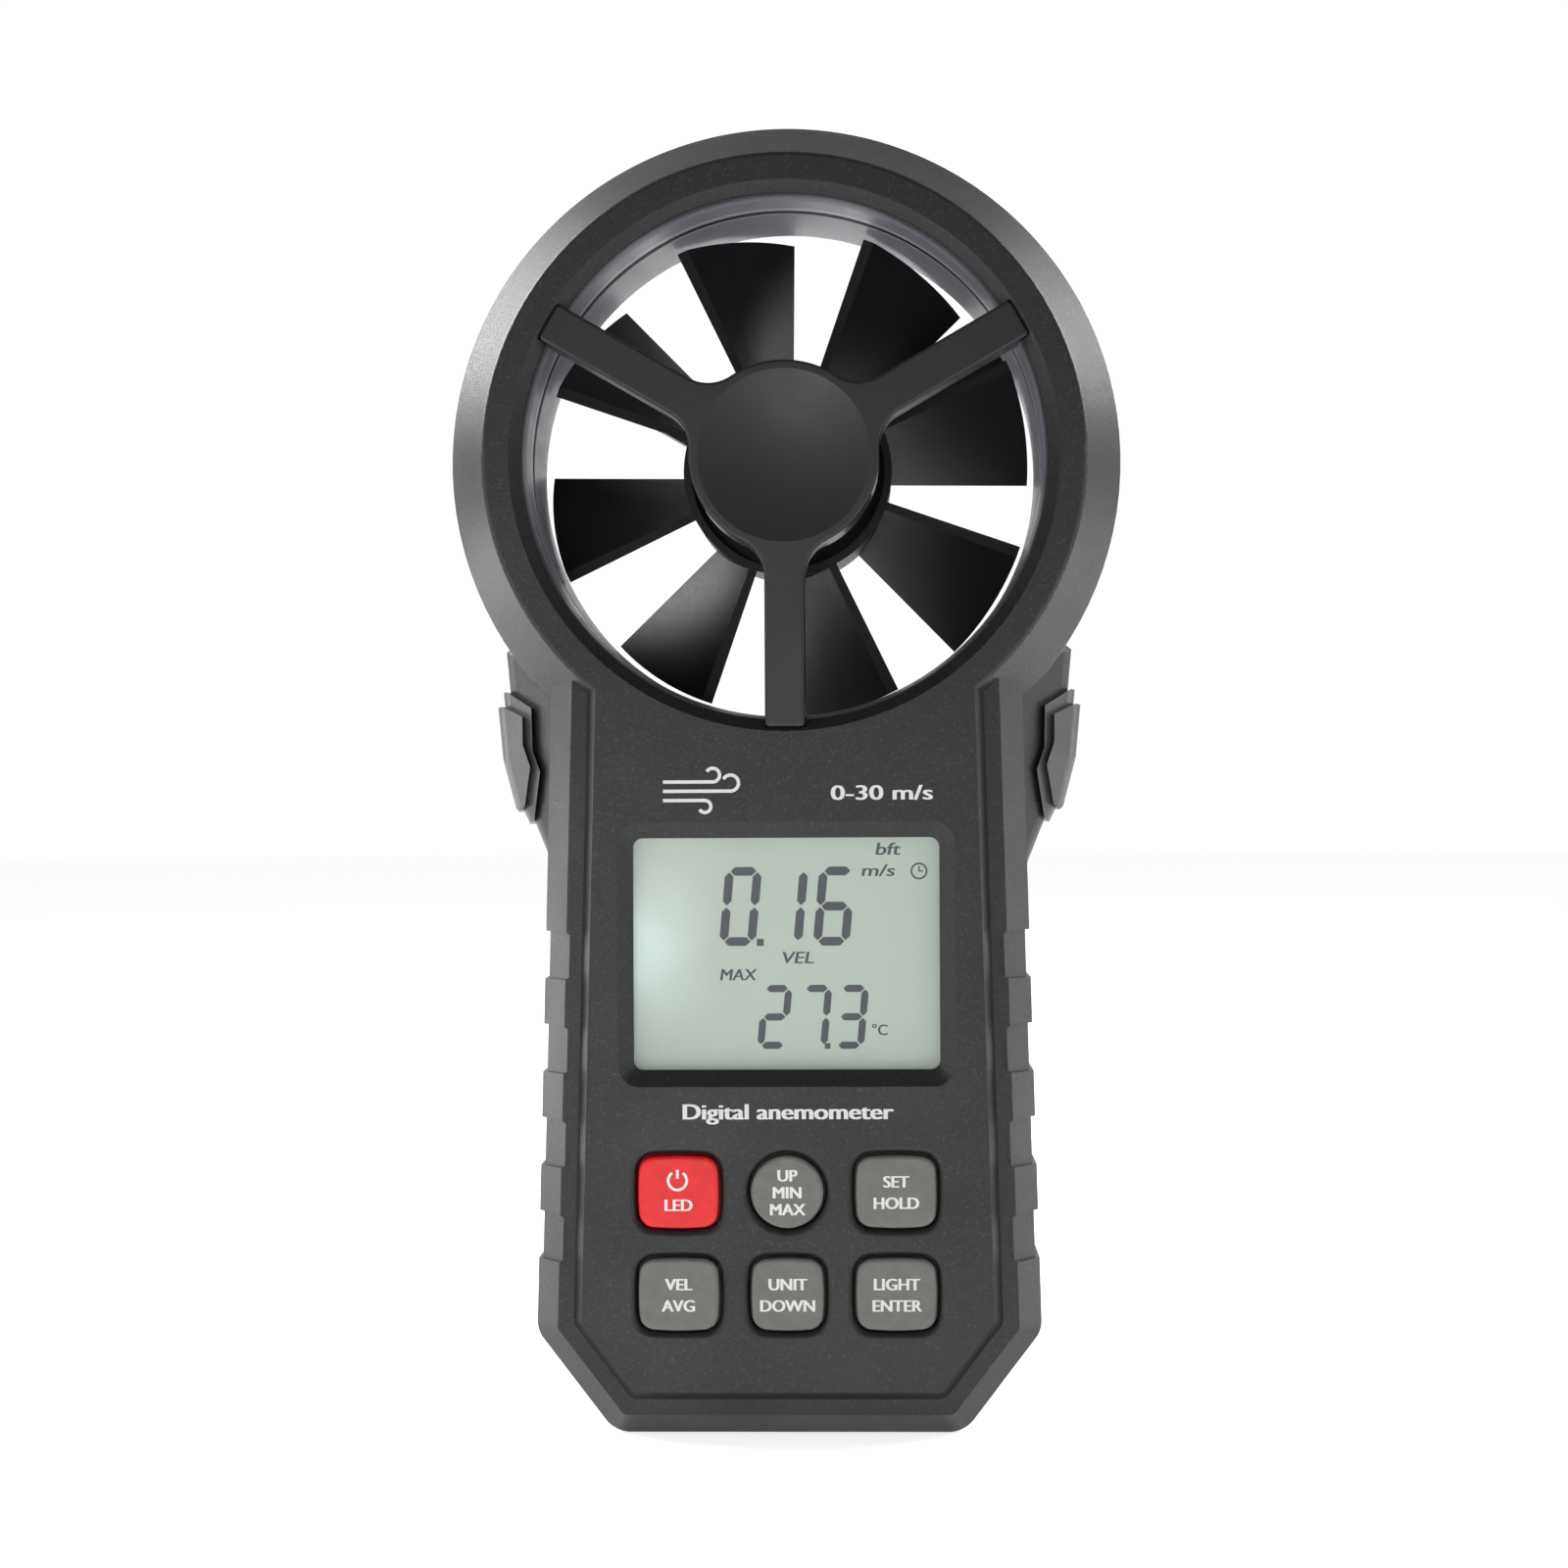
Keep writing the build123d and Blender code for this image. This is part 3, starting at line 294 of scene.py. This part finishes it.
CASE_GREY = (0.0125, 0.0129, 0.0134)
MATERIALS = {
    "case_plastic": spark_plastic("case_plastic", CASE_GREY, 0.40, 0.6, 2.6, 0.05, 0.7),
    "guard_plastic": spark_plastic("guard_plastic", (0.0155, 0.016, 0.0168), 0.36, 0.15, 4.0, 0.02,
                                   0.35),
    "grip_rubber": smooth_plastic("grip_rubber", (0.06, 0.061, 0.063), 0.34, 0.2, 0.15),
    "duct_plastic": duct_plastic("duct_plastic"),
    "seal_rubber": smooth_plastic("seal_rubber", (0.008, 0.008, 0.009), 0.7),
    "rotor_plastic": smooth_plastic("rotor_plastic", (0.0075, 0.0075, 0.0098), 0.5, 0.25, 0.2,
                                    Specular_IOR_Level=0.3),
    "bearing_brass": metal("bearing_brass", (0.72, 0.52, 0.26), 0.3),
    "board_laminate": laminate("board_laminate"),
    "chip_epoxy": spark_plastic("chip_epoxy", (0.02, 0.02, 0.02), 0.5, 0.1, 6.0, 0.01),
    "lead_jacket": smooth_plastic("lead_jacket", (0.02, 0.02, 0.02), 0.4),
    "connector_plastic": smooth_plastic("connector_plastic", (0.7, 0.68, 0.6), 0.4),
    "window_plastic": window_plastic("window_plastic"),
    "lcd_glass": lcd_glass("lcd_glass"),
    "light_guide": smooth_plastic("light_guide", (0.8, 0.88, 0.85), 0.35),
    "lamp_resin": smooth_plastic("lamp_resin", (0.85, 0.85, 0.7), 0.2),
    "zebra_rubber": striped_rubber("zebra_rubber"),
    "key_silicone": key_silicone("key_silicone", (0.165, 0.175, 0.155)),
    "power_key_silicone": key_silicone("power_key_silicone", (0.86, 0.016, 0.02)),
    "buzzer_plastic": spark_plastic("buzzer_plastic", (0.02, 0.02, 0.02), 0.4, 0.1),
    "battery_jacket": metal("battery_jacket", (0.18, 0.19, 0.22), 0.35),
    "snap_vinyl": smooth_plastic("snap_vinyl", (0.015, 0.015, 0.015), 0.45),
    "steel": metal("steel", (0.55, 0.55, 0.56), 0.3),
    "magnet": metal("magnet", (0.2, 0.2, 0.21), 0.45),
    "foam": foam("foam"),
    "insert_brass": metal("insert_brass", (0.7, 0.5, 0.25), 0.32),
    "lcd_ink": ink("lcd_ink", (0.017, 0.022, 0.042), 0.4),
    "white_ink": ink("white_ink", (0.82, 0.82, 0.80)),
    "key_ink": ink("key_ink", (0.88, 0.89, 0.86)),
}
NODE_MATERIAL = {
    "front_shell": "case_plastic", "rear_shell": "case_plastic", "battery_door": "case_plastic",
    "front_guard": "guard_plastic", "rear_guard": "guard_plastic",
    "side_grip_left": "grip_rubber", "side_grip_right": "grip_rubber",
    "duct_front_ring": "duct_plastic", "duct_rear_ring": "duct_plastic", "duct_gasket": "seal_rubber",
    "rotor": "rotor_plastic", "rotor_shaft": "steel", "rotor_magnet": "magnet",
    "front_bearing": "bearing_brass", "rear_bearing": "bearing_brass",
    "sensor_board": "board_laminate", "main_board": "board_laminate",
    "hall_sensor": "chip_epoxy", "main_chip": "chip_epoxy", "thermistor": "chip_epoxy",
    "sensor_lead": "lead_jacket", "battery_leads": "lead_jacket", "sensor_plug": "connector_plastic",
    "display_window": "window_plastic", "lcd_cell": "lcd_glass", "lcd_backlight": "light_guide",
    "backlight_leds": "lamp_resin", "zebra_strip": "zebra_rubber", "lcd_frame": "connector_plastic",
    "key_domes": "steel", "keypad_mat": "key_silicone", "buzzer": "buzzer_plastic",
    "battery": "battery_jacket", "battery_snap": "snap_vinyl", "door_foam": "foam",
    "door_screw": "steel", "case_screws": "steel", "board_screws": "steel",
    "tripod_insert": "insert_brass",
    "key_power": "power_key_silicone", "key_min_max": "key_silicone", "key_hold": "key_silicone",
    "key_average": "key_silicone", "key_unit": "key_silicone", "key_light": "key_silicone",
}


def dress(obj, material):
    obj.data.materials.clear()
    obj.data.materials.append(MATERIALS[material].material)


for node, material in NODE_MATERIAL.items():
    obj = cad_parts[node]
    for index in range(max(1, len(obj.material_slots))):
        if not obj.material_slots:
            obj.data.materials.append(None)
        obj.material_slots[index].material = MATERIALS[material].material


# ---- thin printed and etched shapes ----------------------------------------
def flat_piece(name, faces, y, thick, material, body):
    """Outlines in (x, z) millimetres become thin plates that stand out towards the viewer."""
    mesh = bmesh.new()
    for outline in faces:
        ring = [mesh.verts.new((x * MM, y * MM, z * MM)) for x, z in outline]
        mesh.faces.new(ring)
    bmesh.ops.triangulate(mesh, faces=mesh.faces[:])
    bmesh.ops.recalc_face_normals(mesh, faces=mesh.faces[:])
    out = bmesh.ops.extrude_face_region(mesh, geom=mesh.faces[:])
    verts = [v for v in out["geom"] if isinstance(v, bmesh.types.BMVert)]
    bmesh.ops.translate(mesh, verts=verts, vec=(0, -thick * MM, 0))
    bmesh.ops.recalc_face_normals(mesh, faces=mesh.faces[:])
    data = bpy.data.meshes.new(name)
    mesh.to_mesh(data)
    mesh.free()
    return finish_piece(name, data, material, body)


def finish_piece(name, data, material, body):
    obj = bpy.data.objects.new(name, data)
    SCENE.collection.objects.link(obj)
    dress(obj, material)
    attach(obj, body)
    return obj


PRINT = 0.04            # thickness of printed ink, mm
SUNK = 0.01             # how far a print starts under the surface it lies on, mm
CAPITAL_HEIGHT = 0.729  # height of a capital in the built-in face, in its own units


def lettering(name, text, x, z, cap, y, material, body, slot, width=None, bold=0.0, slant=0.0,
              align="CENTER", thick=PRINT):
    """Plain sans lettering whose capitals stand cap millimetres tall on the line z."""
    curve = bpy.data.curves.new(name, "FONT")
    curve.body, curve.align_x = text, align
    curve.resolution_u = 4
    curve.extrude = 0.5
    temp = bpy.data.objects.new(name + "_form", curve)
    SCENE.collection.objects.link(temp)
    bpy.context.view_layer.update()
    data = bpy.data.meshes.new_from_object(temp.evaluated_get(bpy.context.evaluated_depsgraph_get()))
    bpy.data.objects.remove(temp)
    bpy.data.curves.remove(curve)
    data.name = name
    xs = [v.co.x for v in data.vertices]
    scale = cap / CAPITAL_HEIGHT
    stretch = (width / ((max(xs) - min(xs)) * scale)) if width else 1.0
    for v in data.vertices:
        across = v.co.x * scale * stretch + v.co.y * scale * slant
        out = y - (v.co.z + 0.5) * thick
        v.co = Vector(((x + across) * MM, out * MM, (z + v.co.y * scale) * MM))
    mesh = bmesh.new()
    mesh.from_mesh(data)
    bmesh.ops.remove_doubles(mesh, verts=mesh.verts[:], dist=1e-7)
    bmesh.ops.recalc_face_normals(mesh, faces=mesh.faces[:])
    if bold:
        # a second copy beside the first, set a little further back, thickens the strokes
        copy = bmesh.ops.duplicate(mesh, geom=mesh.verts[:] + mesh.edges[:] + mesh.faces[:])["geom"]
        moved = [v for v in copy if isinstance(v, bmesh.types.BMVert)]
        bmesh.ops.translate(mesh, verts=moved, vec=(bold * cap * MM, 0.004 * MM, 0))
        bmesh.ops.translate(mesh, verts=mesh.verts[:], vec=(-bold / 2 * cap * MM, 0, 0))
    mesh.to_mesh(data)
    mesh.free()
    return finish_piece(name, data, material, body)


def arc_points(cx, cz, radius, start, end, count=16):
    return [(cx + radius * math.cos(math.radians(start + (end - start) * k / count)),
             cz + radius * math.sin(math.radians(start + (end - start) * k / count)))
            for k in range(count + 1)]


def stroke(points, width):
    """Quads that follow a line, one for each run, with mitred ends."""
    normals = []
    for k, (x, z) in enumerate(points):
        ax, az = points[max(k - 1, 0)]
        bx, bz = points[min(k + 1, len(points) - 1)]
        length = math.hypot(bx - ax, bz - az) or 1
        normals.append((-(bz - az) / length, (bx - ax) / length))
    left = [(x + n * width / 2, z + m * width / 2) for (x, z), (n, m) in zip(points, normals)]
    right = [(x - n * width / 2, z - m * width / 2) for (x, z), (n, m) in zip(points, normals)]
    return [[left[k], left[k + 1], right[k + 1], right[k]] for k in range(len(points) - 1)]


# ---- display ---------------------------------------------------------------
SEGMENTS = {"0": "abcdef", "1": "bc", "2": "abged", "3": "abgcd", "6": "afedcg", "7": "abc"}
INK = 0.03              # thickness of the display's figures, mm
INK_SUNK = 0.005        # how far they start under the cell's face, mm


def digit(char, x, z, width, height, bar):
    """Seven-segment figure with pointed bars and thin gaps; x, z is its lower left corner."""
    lean, gap = 0.09, 0.12
    half, mid = bar / 2, height / 2

    def bar_across(level):
        a, b = half + gap, width - half - gap
        return [(a, level), (a + half, level + half), (b - half, level + half), (b, level),
                (b - half, level - half), (a + half, level - half)]

    def bar_up(side, low, high):
        a, b = low + gap, high - gap
        return [(side, a), (side + half, a + half), (side + half, b - half), (side, b),
                (side - half, b - half), (side - half, a + half)]

    low, high, right = half, height - half, width - half
    bars = {"a": bar_across(high), "g": bar_across(mid), "d": bar_across(low),
            "f": bar_up(half, mid, high), "e": bar_up(half, low, mid),
            "b": bar_up(right, mid, high), "c": bar_up(right, low, mid)}
    return [[(x + u + v * lean, z + v) for u, v in bars[s]] for s in SEGMENTS[char]]


def dot(x, z, size):
    return [[(x, z), (x + size, z), (x + size, z + size), (x, z + size)]]


def lcd_piece(name, faces):
    return flat_piece(name, faces, CELL_Y + INK_SUNK, INK, "lcd_ink", "case")


def lcd_text(name, text, x, z, cap, **more):
    return lettering(name, text, DISPLAY.x + x, DISPLAY.z + z, cap, CELL_Y + INK_SUNK, "lcd_ink",
                     "case", "lcd_glass", thick=INK, **more)


def reading(name, places, z, height, width, bar):
    """A row of figures; places are (character, left edge) from the display's middle."""
    faces = []
    for char, x in places:
        if char == ".":
            faces += dot(DISPLAY.x + x, DISPLAY.z + z, bar * 0.8)
        else:
            faces += digit(char, DISPLAY.x + x, DISPLAY.z + z, width, height, bar)
    lcd_piece(name, faces)


reading("lcd_speed", (("0", -8.5), (".", -3.75), ("1", -2.7), ("6", 3.25)), 0.9, 9.9, 4.6, 1.1)
reading("lcd_temperature", (("2", -3.8), ("7", 1.2), (".", 4.7), ("3", 5.8)), -12.0, 8.0, 3.8, 0.9)
lcd_text("lcd_vel", "VEL", 1.3, -1.3, 1.55, width=4.1, slant=0.2, bold=0.07)
lcd_text("lcd_max", "MAX", -6.2, -3.4, 1.5, width=4.4, slant=0.15, bold=0.07)
lcd_text("lcd_bft", "bft", 12.6, 12.25, 1.6, width=3.0, slant=0.2, bold=0.07)
lcd_text("lcd_units", "m/s", 11.4, 9.6, 1.55, width=4.0, slant=0.2, bold=0.07)
lcd_text("lcd_degrees", "°C", 11.6, -10.3, 1.4, width=1.9, bold=0.06)


def clock_icon():
    x, z, radius = DISPLAY.x + 16.6, DISPLAY.z + 10.2, 0.95
    faces = stroke(arc_points(x, z, radius, 0, 360, 32), 0.22)
    faces += stroke([(x, z), (x, z + radius * 0.65)], 0.18)
    faces += stroke([(x, z), (x + radius * 0.5, z)], 0.18)
    lcd_piece("lcd_clock", faces)


clock_icon()


# ---- prints on the panel and keys ------------------------------------------
def panel_text(name, text, x, z, cap, **more):
    return lettering(name, text, x, z, cap, PANEL_Y + SUNK, "white_ink", "case", "case_plastic",
                     **more)


panel_text("panel_title", "Digital anemometer", 0.05, 40.0, 2.0, width=26.0, bold=0.12)
panel_text("panel_range", "0-30 m/s", 12.0, 79.6, 1.9, width=12.5, bold=0.1)


def wind_icon():
    """Three curling air streams, drawn as plain strokes."""
    x, z, width = -15.2, 80.4, 0.42
    faces = []
    streams = ((6.2, 1.5, 0.85, 1), (8.4, 0.35, 1.0, 1), (5.2, -0.8, 0.75, -1))
    for length, level, curl, turn in streams:
        end = x + length
        hook = arc_points(end, z + level + turn * curl, curl, -90 * turn, 150 * turn, 18)
        faces += stroke([(x, z + level), (end, z + level)] + hook[1:], width)
    flat_piece("panel_wind", faces, PANEL_Y + SUNK, PRINT, "white_ink", "case")


wind_icon()

KEY_CAP = 1.5           # height of a capital on the keys, mm
for node, lines in (("key_min_max", ("UP", "MIN", "MAX")), ("key_hold", ("SET", "HOLD")),
                    ("key_average", ("VEL", "AVG")), ("key_unit", ("UNIT", "DOWN")),
                    ("key_light", ("LIGHT", "ENTER"))):
    middle = place(node)
    pitch = 2.1 if len(lines) == 3 else 2.65
    for k, line in enumerate(lines):
        z = middle.z + ((len(lines) - 1) / 2 - k) * pitch - KEY_CAP / 2
        lettering(f"{node}_line_{k + 1}", line, middle.x, z, KEY_CAP, KEY_Y + SUNK, "key_ink", node,
                  "key_silicone", bold=0.11)


def power_icon():
    middle = place("key_power")
    x, z, radius = middle.x - 0.1, middle.z + 1.45, 1.15
    faces = stroke(arc_points(x, z, radius, 125, 415, 28), 0.34)
    faces += stroke([(x, z + 0.25), (x, z + radius + 0.2)], 0.36)
    flat_piece("key_power_icon", faces, KEY_Y + SUNK, PRINT, "key_ink", "key_power")
    lettering("key_power_line", "LED", middle.x, middle.z - 2.3, KEY_CAP, KEY_Y + SUNK, "key_ink",
              "key_power", "power_key_silicone", bold=0.11)


power_icon()


# ---- floor, light and camera -----------------------------------------------
def stage():
    """A plain pale floor that looks white to the camera."""
    half_width = 4.0
    mesh = bmesh.new()
    bmesh.ops.create_grid(mesh, x_segments=1, y_segments=1, size=half_width)
    data = bpy.data.meshes.new("floor")
    mesh.to_mesh(data)
    mesh.free()
    floor = bpy.data.objects.new("floor", data)
    SCENE.collection.objects.link(floor)
    g = Graph("floor_white")
    grain = g.noise(0.02, 2)
    g.set(Base_Color=g.blend(grain, (0.80, 0.80, 0.80), (0.83, 0.83, 0.83)), Roughness=0.9)
    seen = g.add("ShaderNodeLightPath").outputs["Is Camera Ray"]
    g.set(Emission_Color=(1.0, 1.0, 1.0), Emission_Strength=g.fit(seen, 0, 1, 0.45, 0.75))
    data.materials.append(g.material)


def room():
    """A pale room that lights the object mostly from behind, and looks white on every side."""
    world = bpy.data.worlds.new("room")
    SCENE.world = world
    world.use_nodes = True
    tree = world.node_tree
    coords = tree.nodes.new("ShaderNodeTexCoord")
    split = tree.nodes.new("ShaderNodeSeparateXYZ")
    level = tree.nodes.new("ShaderNodeMapRange")
    background = tree.nodes["Background"]
    tree.links.new(coords.outputs["Generated"], split.inputs[0])
    tree.links.new(split.outputs["Y"], level.inputs["Value"])
    for key, value in (("From Min", 0.6), ("From Max", 0.88), ("To Min", 0.17), ("To Max", 1.05)):
        level.inputs[key].default_value = value
    path = tree.nodes.new("ShaderNodeLightPath")
    seen = tree.nodes.new("ShaderNodeMath")
    seen.operation = "MAXIMUM"
    tree.links.new(level.outputs[0], seen.inputs[0])
    tree.links.new(path.outputs["Is Camera Ray"], seen.inputs[1])
    tree.links.new(seen.outputs[0], background.inputs["Strength"])
    background.inputs["Color"].default_value = (1, 1, 1, 1)


def soft_box(name, at, towards, size, watts):
    light = bpy.data.lights.new(name, "AREA")
    light.shape, light.size, light.size_y, light.energy = "RECTANGLE", size[0], size[1], watts
    obj = bpy.data.objects.new(name, light)
    SCENE.collection.objects.link(obj)
    obj.location = at
    obj.rotation_euler = (Vector(towards) - Vector(at)).to_track_quat("-Z", "Y").to_euler()


stage()
room()
MIDDLE = (0, 0, 0.09)
soft_box("box_left", (-0.78, 0.30, 0.62), MIDDLE, (0.45, 0.5), 13.0)
soft_box("box_right", (0.80, 0.30, 0.60), MIDDLE, (0.4, 0.45), 7.0)
soft_box("box_front_left", (-0.75, -0.45, 0.30), MIDDLE, (0.4, 0.6), 1.35)
soft_box("box_front_right", (0.75, -0.45, 0.28), MIDDLE, (0.4, 0.6), 1.0)
soft_box("box_low_front", (-0.12, -0.95, 0.05), MIDDLE, (0.12, 0.08), 0.48)
HANDLE = (0, 0, 0.05)
soft_box("box_low_left", (-0.48, 0.17, 0.05), HANDLE, (0.12, 0.12), 0.25)
soft_box("box_low_right", (0.48, 0.17, 0.05), HANDLE, (0.12, 0.12), 0.16)


def aim_camera():
    """Position and turn that give the product view: a little right of the middle, level."""
    camera = bpy.data.cameras.new("camera")
    obj = bpy.data.objects.new("camera", camera)
    SCENE.collection.objects.link(obj)
    camera.sensor_width = 36.0
    camera.lens = 69.04
    camera.clip_start = 0.01
    obj.location = (0.01009, -0.39173, 0.07962)
    yaw, pitch, roll = (math.radians(a) for a in (1.572, 0.303, -0.278))
    turn = Matrix.Rotation(yaw, 4, "Z") @ Matrix.Rotation(math.pi / 2 + pitch, 4, "X")
    obj.rotation_euler = (turn @ Matrix.Rotation(roll, 4, "Z")).to_euler()
    bpy.context.scene.camera = obj


aim_camera()
SCENE.view_settings.view_transform = "Standard"
